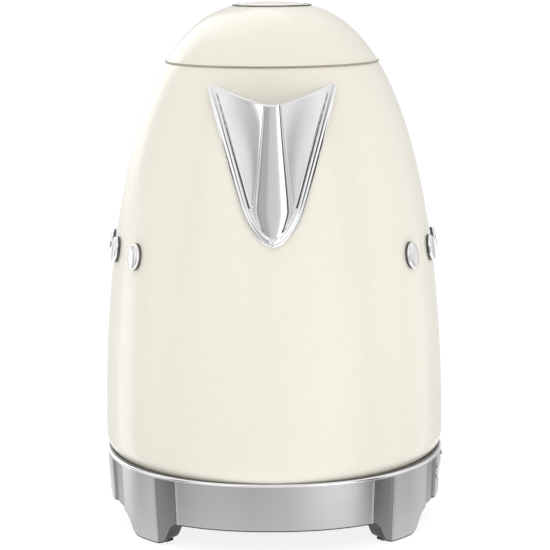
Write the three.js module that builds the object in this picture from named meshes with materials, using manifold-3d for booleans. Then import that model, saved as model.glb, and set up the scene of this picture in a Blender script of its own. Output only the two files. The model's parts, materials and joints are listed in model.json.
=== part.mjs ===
// Electric kettle on a swivel power base. Millimetres, +Z up, spout towards -Y, controls towards +X.
// Everything is modelled around the kettle's own upright axis. The outer group then moves it along Y,
// so that the origin is under the middle of the whole object, handle included.
import * as THREE from 'three';
import { mergeVertices } from 'three/addons/utils/BufferGeometryUtils.js';
import Module from 'manifold-3d';

// ---- driving dimensions ----
const GAP = 0.3;                    // clearance between pieces that touch
const ROUND = 40;                   // facets round the kettle's axis
const SMALL_ROUND = 20;             // facets round small turned pieces

const BODY_R = 85.5;                // widest radius of the kettle
const DOME_FOOT_Z = 36;             // where the dome's curve starts
const DOME_TOP_Z = 256.25;          // where the dome's curve would close
const DOME_R_POWER = 2.74;
const DOME_Z_POWER = 2.18;
const SHELL_T = 1.4;
const BODY_BOTTOM_Z = 34;
const TUCK_H = 10;                  // the body's lower edge curls in over this height
const TUCK_R = 5;
const BODY_TOP_Z = 227.4;
const LID_BOTTOM_Z = 228;
const BUTTON_R = 16.8;
const BUTTON_TOP_Z = 256.5;

const BASE_R = 84.8;                // power base, across its flats
const BASE_POWER = 2.2;             // superellipse exponent of its plan
const BASE_RIM_Z = 35.5;
const BAND_BOTTOM_Z = 12;
const LEG_BOTTOM_Z = 0.6;
const LEG_INNER_HALF = 11.6;        // a leg's width from its middle towards the front or back
const LEG_OUTER_HALF = 15.3;        // and towards the left or right side
const COVES = [[-12, -3.9], [14.6, 24.3]];    // two per leg, in degrees of legTurn
const COVE_DEPTH = 1.1;
const COVE_SIDE = 0.11;             // share of a cove's width that each sloping side takes
const BASE_DRAFT = 0.05;            // inward lean of the band, per millimetre of height
const LIP_R = 83.7;
const SKIN_INNER_R = 82.2;
const INSIDE_R = SKIN_INNER_R - 0.4;
const HUB_R = 38;
const LEG_HEADINGS = [45, 135, 225, 315];
const SCREW_HEADINGS = [60, 180, 300];
const BASE_SCREW_CIRCLE_R = 56;
const COVER_SCREW_CIRCLE_R = 58;

const FLOOR_PLATE_Z = 62;           // underside of the heating plate
const ELEMENT_R = 58;
const NECK_R = 46;
const LID_HOLE_R = 19.5;

const SPOUT_TIP_Z = 147;
const LIP_HORN_Z = 220.1;
const LIP_CENTRE_Z = 212.8;
const RIM_BEAD_W = 3.6;
const SPOUT_T = 1.6;
const POUR_HOLE = [[-3, 171], [3, 171], [13, 203], [10, 207], [-10, 207], [-13, 203]];
const FILTER_OUTLINE = [[-6, 165], [6, 165], [17, 205], [14, 211], [-14, 211], [-17, 205]];

const HANDLE_W = 26;
const HANDLE_T = 13;
const HANDLE_BACK_Y = 140.5;        // rearmost point of the handle, from the axis
const HANDLE_ROOT = [[50, 212], [66, 215.5], [88, 217], [110, 212], [127, 196]];
const HANDLE_TAIL = [[123, 117], [106, 99], [88, 89], [70, 84]];
const GRIP_RANGE = [0.2, 0.8];      // share of the handle's length that the grip covers
const EAR_X = [8.2, 12];            // inner and outer faces of the hinge's ears
const KNUCKLE_HALF = 7.6;
const PIN_Y = 59.5;
const PIN_Z = 229.5;
const PIN_R = 1.5;

const WINDOW_Z = [104, 176];
const BUTTON_ANGLES = { start_button: 76, temperature_button: 90, keep_warm_button: 104 };
const CONTROL_Z = 23;
const STUD_ANGLES = [55.5, 73.5, 91.5];
const STUD_Z = 137.3;

const AXIS_Y = (BODY_R - HANDLE_BACK_Y) / 2;

// ---- colours and finishes ----
const LOOKS = {
  cream: [0xf2e9d2, 0.18, 0],
  chrome: [0xd8d8da, 0.08, 1],
  steel: [0xb4b4b6, 0.35, 1],
  black: [0x1b1b1d, 0.5, 0],
  rubber: [0x222224, 0.85, 0],
  brass: [0xc9a24e, 0.3, 1],
  silicone: [0xd9d6cf, 0.7, 0],
  board: [0x1f5b3a, 0.6, 0],
  clear: [0xcfe0e6, 0.1, 0],
  white: [0xe6e6e2, 0.5, 0],
};

const wasm = await Module();
wasm.setup();

const kettle = new THREE.Group();

// ---- solids ----
function toSolid(geometry) {
  const bare = geometry.index ? geometry.toNonIndexed() : geometry.clone();
  bare.deleteAttribute('normal');
  bare.deleteAttribute('uv');
  const merged = mergeVertices(bare, 1e-4);
  const index = merged.index.array;
  const kept = [];
  for (let i = 0; i < index.length; i += 3) {
    const [a, b, c] = [index[i], index[i + 1], index[i + 2]];
    if (a !== b && b !== c && a !== c) kept.push(a, b, c);
  }
  const build = (triangles) => new wasm.Manifold(new wasm.Mesh({
    numProp: 3,
    vertProperties: new Float32Array(merged.attributes.position.array),
    triVerts: new Uint32Array(triangles),
  }));
  const solid = build(kept);
  if (solid.volume() > 0) return solid;
  const flipped = [];
  for (let i = 0; i < kept.length; i += 3) flipped.push(kept[i], kept[i + 2], kept[i + 1]);
  return build(flipped);
}

function addPart(name, shape, look) {
  const solid = shape.isBufferGeometry ? toSolid(shape) : shape;
  const data = solid.getMesh();
  const geometry = new THREE.BufferGeometry();
  geometry.setAttribute('position', new THREE.BufferAttribute(new Float32Array(data.vertProperties), 3));
  geometry.setIndex(new THREE.BufferAttribute(new Uint32Array(data.triVerts), 1));
  geometry.computeVertexNormals();
  const [color, roughness, metalness] = LOOKS[look];
  const mesh = new THREE.Mesh(geometry, new THREE.MeshStandardMaterial({ color, roughness, metalness }));
  mesh.name = name;
  kettle.add(mesh);
}

function join(first, ...others) {
  return others.reduce((sum, other) => sum.add(other), first);
}

function cut(first, ...others) {
  return others.reduce((rest, other) => rest.subtract(other), first);
}

// A closed profile of [radius, height] points, turned round the Z axis.
function turned(profile, segments = ROUND) {
  const points = profile.map(([r, z]) => new THREE.Vector2(r, z));
  const closed = profile[0][0] > 0 || profile[profile.length - 1][0] > 0;
  if (closed) points.push(points[0].clone());
  return toSolid(new THREE.LatheGeometry(points, segments).rotateX(Math.PI / 2));
}

function ring(inner, outer, low, high, segments = ROUND) {
  return turned([[inner, low], [outer, low], [outer, high], [inner, high]], segments);
}

function disc(radius, low, high, segments = ROUND) {
  return turned([[0, low], [radius, low], [radius, high], [0, high]], segments);
}

function boxBetween(low, high) {
  const size = high.map((value, i) => value - low[i]);
  const centre = high.map((value, i) => (value + low[i]) / 2);
  return toSolid(new THREE.BoxGeometry(...size).translate(...centre));
}

// An outline in two axes, pushed along the third.
// 'x' takes [y, z] points, 'y' takes [x, z] and 'z' takes [x, y].
function prism(outline, along, low, high) {
  const shape = new THREE.Shape(outline.map(([a, b]) => new THREE.Vector2(a, b)));
  const geometry = new THREE.ExtrudeGeometry(shape, { depth: high - low, bevelEnabled: false });
  if (along === 'x') geometry.rotateY(Math.PI / 2).rotateX(Math.PI / 2).translate(low, 0, 0);
  if (along === 'y') geometry.rotateX(Math.PI / 2).translate(0, high, 0);
  if (along === 'z') geometry.translate(0, 0, low);
  return toSolid(geometry);
}

function roundedOutline(halfWidth, low, high, radius, steps = 4) {
  const corners = [
    [halfWidth - radius, low + radius, -Math.PI / 2],
    [halfWidth - radius, high - radius, 0],
    [-halfWidth + radius, high - radius, Math.PI / 2],
    [-halfWidth + radius, low + radius, Math.PI],
  ];
  return corners.flatMap(([a, b, start]) => Array.from({ length: steps + 1 }, (_, i) => {
    const angle = start + (Math.PI / 2) * (i / steps);
    return [a + radius * Math.cos(angle), b + radius * Math.sin(angle)];
  }));
}

// Rings of points joined one after the other. The first and last are closed with a fan, or meet each other.
function loft(rings, endless = false) {
  const positions = [];
  const quad = (a, b, c, d) => positions.push(...a, ...b, ...c, ...a, ...c, ...d);
  const count = rings[0].length;
  const last = endless ? rings.length : rings.length - 1;
  for (let i = 0; i < last; i += 1) {
    const here = rings[i];
    const next = rings[(i + 1) % rings.length];
    for (let j = 0; j < count; j += 1) {
      quad(here[j], here[(j + 1) % count], next[(j + 1) % count], next[j]);
    }
  }
  if (!endless) {
    for (let j = 1; j < count - 1; j += 1) {
      const end = rings[rings.length - 1];
      positions.push(...rings[0][0], ...rings[0][j + 1], ...rings[0][j]);
      positions.push(...end[0], ...end[j], ...end[j + 1]);
    }
  }
  const geometry = new THREE.BufferGeometry();
  geometry.setAttribute('position', new THREE.Float32BufferAttribute(positions, 3));
  return toSolid(geometry);
}

// A sheet with thickness: outer(u, v) and inner(u, v) over the given steps, closed along its four edges.
function thickSheet(us, vs, outer, inner) {
  const rings = us.map((u) => [
    ...vs.map((v) => outer(u, v)),
    ...vs.slice().reverse().map((v) => inner(u, v)),
  ]);
  const positions = [];
  const quad = (a, b, c, d) => positions.push(...a, ...b, ...c, ...a, ...c, ...d);
  const count = rings[0].length;
  for (let i = 0; i < rings.length - 1; i += 1) {
    for (let j = 0; j < count; j += 1) {
      quad(rings[i][j], rings[i][(j + 1) % count], rings[i + 1][(j + 1) % count], rings[i + 1][j]);
    }
  }
  for (let j = 0; j < vs.length - 1; j += 1) {
    const first = rings[0];
    const end = rings[rings.length - 1];
    quad(first[j], first[count - 1 - j], first[count - 2 - j], first[j + 1]);
    quad(end[j + 1], end[count - 2 - j], end[count - 1 - j], end[j]);
  }
  const geometry = new THREE.BufferGeometry();
  geometry.setAttribute('position', new THREE.Float32BufferAttribute(positions, 3));
  return toSolid(geometry);
}

function steps(low, high, count) {
  return Array.from({ length: count + 1 }, (_, i) => low + ((high - low) * i) / count);
}

function rodAlong(start, end, radius, segments = 20) {
  const from = new THREE.Vector3(...start);
  const to = new THREE.Vector3(...end);
  const geometry = new THREE.CylinderGeometry(radius, radius, from.distanceTo(to), segments);
  const turn = new THREE.Quaternion().setFromUnitVectors(
    new THREE.Vector3(0, 1, 0), to.clone().sub(from).normalize());
  geometry.applyQuaternion(turn);
  geometry.translate(...from.add(to).multiplyScalar(0.5).toArray());
  return toSolid(geometry);
}

function coil(radius, wire, turns, length, axis, centre) {
  class Helix extends THREE.Curve {
    getPoint(t, target = new THREE.Vector3()) {
      const angle = 2 * Math.PI * turns * t;
      const along = (t - 0.5) * length;
      const [a, b] = [radius * Math.cos(angle), radius * Math.sin(angle)];
      return axis === 'z' ? target.set(a, b, along) : target.set(along, a, b);
    }
  }
  const section = new THREE.Shape().absarc(0, 0, wire, 0, 2 * Math.PI);
  const geometry = new THREE.ExtrudeGeometry(section, {
    steps: turns * 10, curveSegments: 3, extrudePath: new Helix(), bevelEnabled: false,
  });
  return toSolid(geometry.translate(...centre));
}

// Direction on the plan, as an angle from the spout (-Y) towards +X.
function heading(degrees) {
  const angle = THREE.MathUtils.degToRad(degrees);
  return [Math.sin(angle), -Math.cos(angle)];
}

// ---- the dome ----
function domeR(z) {
  const rise = Math.max(z - DOME_FOOT_Z, 0) / (DOME_TOP_Z - DOME_FOOT_Z);
  const curve = BODY_R * (1 - rise ** DOME_Z_POWER) ** (1 / DOME_R_POWER);
  const curl = Math.max(BODY_BOTTOM_Z + TUCK_H - z, 0) / TUCK_H;
  return curve - TUCK_R * (1 - Math.sqrt(1 - curl ** 2));
}

// Heights lie closer together near the ends, where the curve turns fastest.
function domeHeights(low, high, count) {
  return steps(0, 1, count).map((t) => low + ((high - low) * (t + (1 - Math.cos(Math.PI * t)) / 2)) / 2);
}

function domeBand(innerOffset, outerOffset, low, high, count) {
  const heights = domeHeights(low, high, count);
  const outside = heights.map((z) => [domeR(z) + outerOffset, z]);
  const inside = heights.map((z) => [domeR(z) + innerOffset, z]).reverse();
  return turned([...outside, ...inside]);
}

function domeSolid(offset, low, high, count) {
  const outside = domeHeights(low, high, count).map((z) => [domeR(z) + offset, z]);
  return turned([[0, low], ...outside, [0, high]]);
}

// ---- power base ----
function baseR(degrees) {
  const [x, y] = heading(degrees).map(Math.abs);
  return BASE_R / (x ** BASE_POWER + y ** BASE_POWER) ** (1 / BASE_POWER);
}

// Degrees from the middle of the nearest leg, positive towards the kettle's left or right side.
function legTurn(degrees) {
  const fromFront = Math.abs(degrees - 360 * Math.round(degrees / 360));
  return Math.min(fromFront, 180 - fromFront) - 45;
}

function legDrop(degrees) {
  const turn = legTurn(degrees);
  const along = THREE.MathUtils.degToRad(Math.abs(turn)) * BASE_R;
  return 1 / (1 + (along / (turn > 0 ? LEG_OUTER_HALF : LEG_INNER_HALF)) ** 8);
}

function coveDepth(degrees) {
  const turn = legTurn(degrees);
  const shares = COVES.map(([from, to]) => Math.min(turn - from, to - turn) / (to - from) / COVE_SIDE);
  return COVE_DEPTH * Math.min(1, Math.max(0, ...shares));
}

// Headings of the band's upright columns: one at each upright edge, closer together over the legs.
function baseAngles() {
  const [[a, d], [e, h]] = COVES;
  const [b, c, f, g] = [
    a + COVE_SIDE * (d - a), d - COVE_SIDE * (d - a), e + COVE_SIDE * (h - e), h - COVE_SIDE * (h - e),
  ];
  const spans = [
    [-45, a, 5], [a, b, 1], [b, c, 8], [c, d, 1], [d, -d, 2], [-d, -a, 9], [-a, e, 2], [e, f, 1], [f, g, 3],
    [g, h, 1], [h, 45, 3],
  ];
  const quarter = spans.flatMap(([from, to, count]) => steps(45 + from, 45 + to, count).slice(0, -1));
  const half = [...quarter, ...[...quarter.slice(1), 90].reverse().map((angle) => 180 - angle)];
  return [...half, ...half.map((angle) => 180 + angle)];
}

function baseSkin() {
  const rimChamfer = 1;
  const lipDepth = 2;
  const coveTop = BASE_RIM_Z - 2.2;
  const sections = baseAngles().map((degrees) => {
    const [x, y] = heading(degrees);
    const bottom = BAND_BOTTOM_Z - (BAND_BOTTOM_Z - LEG_BOTTOM_Z) * legDrop(degrees);
    const rim = baseR(degrees);
    const lean = (z) => rim - BASE_DRAFT * (BASE_RIM_Z - z);
    const profile = [
      [lean(bottom) - coveDepth(degrees), bottom],
      [lean(coveTop) - coveDepth(degrees), coveTop],
      [lean(coveTop + 0.4), coveTop + 0.4],
      [rim, BASE_RIM_Z - rimChamfer],
      [rim - rimChamfer * 0.9, BASE_RIM_Z],
      [LIP_R, BASE_RIM_Z],
      [LIP_R, BASE_RIM_Z - lipDepth],
      [SKIN_INNER_R, BASE_RIM_Z - lipDepth],
      [SKIN_INNER_R, bottom],
    ];
    return profile.map(([r, z]) => [r * x, r * y, z]);
  });
  const holes = Object.values(BUTTON_ANGLES).map((degrees) => {
    const [x, y] = heading(degrees);
    return rodAlong([70 * x, 70 * y, CONTROL_Z], [95 * x, 95 * y, CONTROL_Z], 4.4);
  });
  const lensSlot = boxBetween([75, -12.4, 29], [95, 12.4, 31.4]);
  return cut(loft(sections, true), ...holes, lensSlot);
}

// A sector between two radii, centred on a heading.
function sector(inner, outer, centreDeg, halfDeg, low, high) {
  const angles = steps(centreDeg - halfDeg, centreDeg + halfDeg, 6);
  const at = (radius) => (degrees) => heading(degrees).map((v) => v * radius);
  return prism([...angles.map(at(outer)), ...angles.reverse().map(at(inner))], 'z', low, high);
}

function legCore(centreDeg) {
  const top = 14.6;
  const point = (radius) => (degrees, v) => {
    const [x, y] = heading(degrees);
    const bottom = BAND_BOTTOM_Z + 1.4 - (BAND_BOTTOM_Z - 0.2) * legDrop(degrees);
    return [radius * x, radius * y, bottom + (top - bottom) * v];
  };
  const angles = steps(centreDeg - 12, centreDeg + 12, 12);
  return thickSheet(angles, [0, 1], point(INSIDE_R), point(INSIDE_R - 7));
}

function baseTray() {
  const floor = turned([
    [0, 2.5], [HUB_R, 2.5], [HUB_R, 13.6], [INSIDE_R, 13.6], [INSIDE_R, 15.4],
    [HUB_R - 2, 15.4], [HUB_R - 2, 4.3], [0, 4.3],
  ]);
  const legs = LEG_HEADINGS.map(legCore);
  const glandHole = rodAlong([0, 30, 8.2], [0, 45, 8.2], 5, 20);
  const screwHoles = screwPlaces().flatMap(([x, y]) => [
    disc(3.6, 13, 14.4, 16).translate(x, y, 0),
    disc(1.9, 13, 17, 16).translate(x, y, 0),
  ]);
  return cut(join(floor, ...legs), glandHole, ...screwHoles);
}

function screwPlaces() {
  return SCREW_HEADINGS.map((degrees) => heading(degrees).map((v) => v * BASE_SCREW_CIRCLE_R));
}

function screw(headZ) {
  const profile = [[0, headZ], [3.2, headZ], [3.2, headZ + 0.7], [1.5, headZ + 1.1], [1.5, headZ + 10],
    [0, headZ + 10]];
  return turned(profile, 12);
}

function addPowerBase() {
  addPart('base_skin', baseSkin(), 'steel');
  addPart('base_tray', baseTray(), 'black');
  LEG_HEADINGS.forEach((degrees, i) => {
    addPart(`rubber_foot_${i + 1}`, sector(INSIDE_R - 6, INSIDE_R - 1, degrees, 4.4, 0, 1.25), 'rubber');
  });
  screwPlaces().forEach(([x, y], i) => {
    addPart(`base_screw_${i + 1}`, screw(13.1).translate(x, y, 0), 'steel');
  });
  const plate = turned([[17.4, 30.8], [INSIDE_R, 30.8], [INSIDE_R, 33.2], [17.4, 33.2]]);
  addPart('base_top_plate', plate, 'black');
  addConnector();
  addBaseElectrics();
}

function addConnector() {
  const housing = turned([
    [0, 24], [17, 24], [17, 33.5], [21, 33.5], [21, 46], [19, 46], [19, 35.5], [7.5, 35.5], [7.5, 48],
    [3, 48], [3, 37.4], [0, 37.4],
  ], SMALL_ROUND);
  addPart('connector_housing', housing, 'black');
  addPart('contact_pin', disc(1.5, 37.7, 47, 16), 'brass');
  addPart('contact_ring_inner', ring(7.9, 8.7, 36, 45, SMALL_ROUND), 'brass');
  addPart('contact_ring_outer', ring(18, 18.6, 36, 43.5, SMALL_ROUND), 'brass');
  addPart('connector_shutter', ring(14.6, 17.3, 36.2, 44, SMALL_ROUND), 'white');
}

function addBaseElectrics() {
  addPart('control_board', boxBetween([73.6, -26, 16], [75.2, 26, 30.2]), 'board');
  const relay = boxBetween([-32, -52, 19], [-14, -36, 30.2]);
  const capacitor = rodAlong([20, -48, 19], [20, -48, 29], 6, 16);
  addPart('power_board', join(boxBetween([-40, -66, 17.6], [40, -22, 19.2]), relay, capacitor), 'board');
  addPart('indicator_lens', boxBetween([82.2, -12, 29.3], [84.75, 12, 31.1]), 'clear');
  const gland = turned([[3.5, -7], [4.7, -7], [4.7, 0.3], [5.1, 0.3], [5.1, 2], [4.6, 7], [3.5, 7]], 20);
  addPart('cord_gland', gland.rotate([-90, 0, 0]).translate(0, HUB_R, 8.2), 'rubber');
  for (const [name, degrees] of Object.entries(BUTTON_ANGLES)) {
    const [x, y] = heading(degrees);
    const at = (radius) => [radius * x, radius * y, CONTROL_Z];
    addPart(name, rodAlong(at(79.4), at(85.2), 4), 'chrome');
  }
}

// ---- kettle body ----
function spoutHalfWidth(z) {
  const rise = z - SPOUT_TIP_Z;
  const rounding = Math.min(rise, 20) / 20;
  return 0.29 * rise + 9.7 * Math.sqrt(1 - (1 - rounding) ** 2);
}

function bodyShell() {
  const shell = domeBand(-SHELL_T, 0, BODY_BOTTOM_Z, BODY_TOP_Z, 12);
  const pourHole = prism(POUR_HOLE, 'y', -100, -30);
  const windowHole = prism(roundedOutline(6.4, WINDOW_Z[0] - 0.4, WINDOW_Z[1] + 0.4, 5), 'y', 50, 100);
  return cut(shell, pourHole, windowHole);
}

// The spout's front surface at x and z, measured forward of the kettle's axis.
function spoutFront(x, z) {
  const half = spoutHalfWidth(z);
  const across = Math.abs(x);
  const skin = (distance) => Math.sqrt(domeR(z) ** 2 - distance ** 2);
  const crease = half - RIM_BEAD_W;
  if (across >= crease) {
    const place = (across - crease) / RIM_BEAD_W;
    return skin(across) + 1 + 1.5 * Math.sin(Math.PI * Math.min(0.15 + 0.85 * place, 1));
  }
  const height = (z - SPOUT_TIP_Z) / (LIP_CENTRE_Z - SPOUT_TIP_Z);
  const keelY = 79.8 + 4.6 * Math.max(height, 0) ** 1.4;
  const keelHalf = Math.min(7.4 - 3 * height, 0.8 * crease);
  const shoulder = keelY - 0.75 * keelHalf;
  if (across <= keelHalf) {
    const drop = 1 - Math.sqrt(1 - (across / keelHalf) ** 2);
    return keelY - 0.75 * keelHalf * drop;
  }
  const place = (crease - across) / (crease - keelHalf);
  const low = skin(crease) + 1;
  return low + (shoulder - low) * place ** 1.3;
}

function spout() {
  const across = steps(-1, 1, 20);
  const heights = [...steps(SPOUT_TIP_Z + 0.3, SPOUT_TIP_Z + 16, 4), ...steps(171, LIP_HORN_Z + 1, 7)];
  const outer = (u, z) => {
    const x = u * spoutHalfWidth(z);
    return [x, -spoutFront(x, z), z];
  };
  const inner = (u, z) => {
    const x = u * spoutHalfWidth(z);
    const seat = Math.sqrt(domeR(z) ** 2 - x ** 2) + GAP;
    return [x, -Math.max(seat, spoutFront(x * 1.03, z) - SPOUT_T * 1.3), z];
  };
  const sheet = thickSheet(across, heights, outer, inner);
  const above = LIP_HORN_Z + 10;
  const rightLip = [
    [4.5, 213.3], [12, 214.3], [19.5, 217], [26.6, LIP_HORN_Z], [28.6, 219.7], [30.4, 217.4], [40, 207],
    [40, above],
  ];
  const leftLip = rightLip.map(([x, z]) => [-x, z]).reverse();
  return cut(sheet, prism([...leftLip, [0, LIP_CENTRE_Z], ...rightLip], 'y', -110, -20));
}

function spoutFilter() {
  const block = prism(FILTER_OUTLINE, 'y', -80, -30);
  const band = domeBand(-SHELL_T - 2.6, -SHELL_T - 0.4, 164, 212, 6);
  const openings = [];
  for (let row = 0; row < 5; row += 1) {
    const z = 174 + 7 * row;
    const half = 2 + 1.9 * row;
    openings.push(boxBetween([-half, -80, z], [-0.5, -30, z + 4.6]));
    openings.push(boxBetween([0.5, -80, z], [half, -30, z + 4.6]));
  }
  return cut(block.intersect(band), ...openings);
}

function waterWindow() {
  const strip = prism(roundedOutline(6, ...WINDOW_Z, 4.6), 'y', 50, 100);
  return strip.intersect(domeBand(-SHELL_T, 0.1, WINDOW_Z[0] - 2, WINDOW_Z[1] + 2, 8));
}

function windowFrame() {
  const outside = prism(roundedOutline(9, WINDOW_Z[0] - 3, WINDOW_Z[1] + 3, 7), 'y', 50, 110);
  const inside = prism(roundedOutline(5, WINDOW_Z[0] + 1, WINDOW_Z[1] - 1, 4), 'y', 40, 120);
  const band = domeBand(0.4, 2, WINDOW_Z[0] - 6, WINDOW_Z[1] + 6, 8);
  return cut(outside.intersect(band), inside);
}

function addVessel() {
  addPart('body_shell', bodyShell(), 'cream');
  addPart('spout', spout(), 'chrome');
  addPart('spout_filter', spoutFilter(), 'black');
  addPart('water_window', waterWindow(), 'clear');
  addPart('window_frame', windowFrame(), 'chrome');
  const neck = turned([[NECK_R, 217], [55.3, 217], [51.4, 226.4], [NECK_R, 226.4]]);
  const boltSlot = boxBetween([-6, -50.4, 220.6], [6, -40, 230]);
  addPart('neck_ring', cut(neck, boltSlot), 'black');
  const sensorHole = disc(4, 50, 80, 16).translate(30, 0, 0);
  addPart('heating_plate', cut(disc(81.4, FLOOR_PLATE_Z, FLOOR_PLATE_Z + 2.4), sensorHole), 'steel');
  addPart('plate_seal', ring(81.8, 83.3, 60, 66), 'silicone');
  addPart('temperature_sensor', disc(3.6, 57, 68, 16).translate(30, 0, 0), 'steel');
  addPart('heating_element', elementRing(), 'steel');
  addPart('thermal_cutout', disc(19, 56.5, 61.4, 24), 'white');
  const socket = turned([
    [2.8, 52], [10.4, 52], [10.4, 37], [13.2, 37], [13.2, 52], [24, 52], [24, 56],
    [0, 56], [0, 52.4], [2.8, 52.4],
  ], SMALL_ROUND);
  addPart('kettle_socket', socket, 'black');
  addPart('socket_sleeve', ring(1.9, 2.6, 41.5, 52.1, 16), 'brass');
}

function elementRing() {
  class Arc extends THREE.Curve {
    getPoint(t, target = new THREE.Vector3()) {
      const angle = THREE.MathUtils.degToRad(110 + 320 * t);
      return target.set(ELEMENT_R * Math.cos(angle), ELEMENT_R * Math.sin(angle), 57.6);
    }
  }
  const section = new THREE.Shape().absarc(0, 0, 3.6, 0, 2 * Math.PI);
  return new THREE.ExtrudeGeometry(section, {
    steps: 26, curveSegments: 4, extrudePath: new Arc(), bevelEnabled: false,
  });
}

function coverScrewPlaces() {
  return SCREW_HEADINGS.map((degrees) => heading(degrees).map((v) => v * COVER_SCREW_CIRCLE_R));
}

function addBottomCover() {
  const places = coverScrewPlaces();
  const dish = turned([[23, 33.6], [78.6, 33.6], [78.6, 36.4], [76, 38], [23, 36]]);
  const holes = places.flatMap(([x, y]) => [
    disc(3.6, 33, 34.9, 16).translate(x, y, 0),
    disc(1.9, 33, 39, 16).translate(x, y, 0),
  ]);
  addPart('kettle_bottom_cover', cut(dish, ...holes), 'black');
  places.forEach(([x, y], i) => {
    addPart(`cover_screw_${i + 1}`, screw(33.6).translate(x, y, 0), 'steel');
  });
}

// ---- handle, on the far side from the spout ----
function handlePath() {
  const back = HANDLE_BACK_Y - HANDLE_T / 2;
  const path = [...HANDLE_ROOT, [back, 170], [back - 3, 143], ...HANDLE_TAIL];
  return new THREE.CatmullRomCurve3(path.map(([y, z]) => new THREE.Vector3(0, y, z)));
}

// The handle's section is a superellipse. Depths are measured outward from the handle's centre line.
function handleLoft(halfWidth, innerDepth, outerDepth, places) {
  const path = handlePath();
  const rings = places.map((t) => {
    const centre = path.getPointAt(t);
    const along = path.getTangentAt(t);
    const middle = (innerDepth + outerDepth) / 2;
    const half = (outerDepth - innerDepth) / 2;
    return steps(0, 2 * Math.PI, 12).slice(0, -1).map((angle) => {
      const [c, s] = [Math.cos(angle), Math.sin(angle)];
      const x = halfWidth * Math.sign(c) * Math.abs(c) ** 0.6;
      const depth = middle + half * Math.sign(s) * Math.abs(s) ** 0.6;
      return [x, centre.y - along.z * depth, centre.z + along.y * depth];
    });
  });
  return loft(rings);
}

function addHandle() {
  const clearOfBody = domeSolid(4.1, 60, 250, 16);
  const hingeRoom = boxBetween([-20, 40, 218.6], [20, 67, 260]);
  const gripPlaces = steps(...GRIP_RANGE, 12);
  const seatPlaces = [GRIP_RANGE[0] - 0.005, ...gripPlaces, GRIP_RANGE[1] + 0.005];
  const bar = handleLoft(HANDLE_W / 2, -HANDLE_T / 2, HANDLE_T / 2, steps(0, 1, 18));
  const gripSeat = handleLoft(HANDLE_W / 2 - 3, -HANDLE_T, -HANDLE_T / 2 + 2.4, seatPlaces);
  addPart('handle', cut(bar, clearOfBody, hingeRoom, gripSeat), 'chrome');
  const grip = handleLoft(HANDLE_W / 2 - 4.5, -HANDLE_T / 2 - 1, -HANDLE_T / 2 + 1.8, gripPlaces);
  addPart('handle_grip', grip, 'rubber');
  const lowerPad = prism(roundedOutline(14, 71, 99, 8), 'y', 40, 110);
  addPart('handle_mount_bottom', lowerPad.intersect(domeBand(0.4, 3.4, 68, 99.5, 5)), 'chrome');
  addHinge();
}

function addHinge() {
  const upperPad = prism(roundedOutline(14, 201, 224.5, 8), 'y', 40, 80);
  const pad = upperPad.intersect(domeBand(0.4, 3.4, 199, 226, 5));
  const earOutline = [
    [55, 219], [62, 219], [63.4, PIN_Z], [62.4, 232.4], [PIN_Y, 233.4], [56.6, 232.4], [55.6, PIN_Z],
  ];
  const [inner, outer] = EAR_X;
  const ears = [[-outer, -inner], [inner, outer]].map(([low, high]) => prism(earOutline, 'x', low, high));
  const bore = rodAlong([-20, PIN_Y, PIN_Z], [20, PIN_Y, PIN_Z], PIN_R + 0.25);
  const body = domeSolid(0.4, 200, 226.2, 8);
  addPart('hinge_bracket', cut(join(pad, ...ears), bore, body), 'black');
  addPart('hinge_pin', rodAlong([-12.6, PIN_Y, PIN_Z], [12.6, PIN_Y, PIN_Z], PIN_R), 'steel');
  addPart('hinge_spring', coil(2.4, 0.42, 4, 4.2, 'x', [0, PIN_Y, PIN_Z]), 'steel');
}

// ---- lid ----
function addLid() {
  const topHole = disc(LID_HOLE_R, 240, 262, 32);
  const hingeNotch = boxBetween([-EAR_X[0], 44, 220], [EAR_X[0], 70, 232.4]);
  const shell = domeBand(-SHELL_T, 0, LID_BOTTOM_Z, 254.4, 6);
  addPart('lid_shell', cut(shell, topHole, hingeNotch), 'cream');
  const liner = turned([
    [0, 219], [43, 219], [43, 227.8], [49.6, 227.8], [49.6, 229.1], [41.6, 229.1],
    [41.6, 220.4], [0, 220.4],
  ]);
  const boltHole = boxBetween([-5, -60, 221.8], [5, -30, 225.6]);
  addPart('lid_liner', cut(liner, boltHole), 'steel');
  addPart('lid_gasket', ring(46.5, 50.4, 226.7, 227.5), 'silicone');
  const carrier = turned([
    [8.6, 236], [37.6, 236], [38.2, 229.5], [39.8, 229.5], [39.8, 236.4], [38.4, 237.6], [8.6, 237.6],
  ]);
  addPart('lid_carrier', carrier, 'white');
  const knuckle = rodAlong([-KNUCKLE_HALF, PIN_Y, PIN_Z], [KNUCKLE_HALF, PIN_Y, PIN_Z], 3.4);
  const arm = join(boxBetween([-KNUCKLE_HALF, 41.5, 229.4], [KNUCKLE_HALF, PIN_Y, 231.6]), knuckle);
  const bore = rodAlong([-20, PIN_Y, PIN_Z], [20, PIN_Y, PIN_Z], PIN_R + 0.25);
  const springRoom = boxBetween([-3, 55.6, 220], [3, 70, 240]);
  addPart('lid_hinge_arm', cut(arm, bore, springRoom), 'steel');
  const trim = turned([
    [BUTTON_R + 0.4, 250], [19.1, 250], [19.1, 254.3], [18.7, 254.9], [BUTTON_R + 0.9, 255],
    [BUTTON_R + 0.4, 254.6],
  ], 32);
  addPart('button_ring', trim, 'chrome');
}

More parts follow.
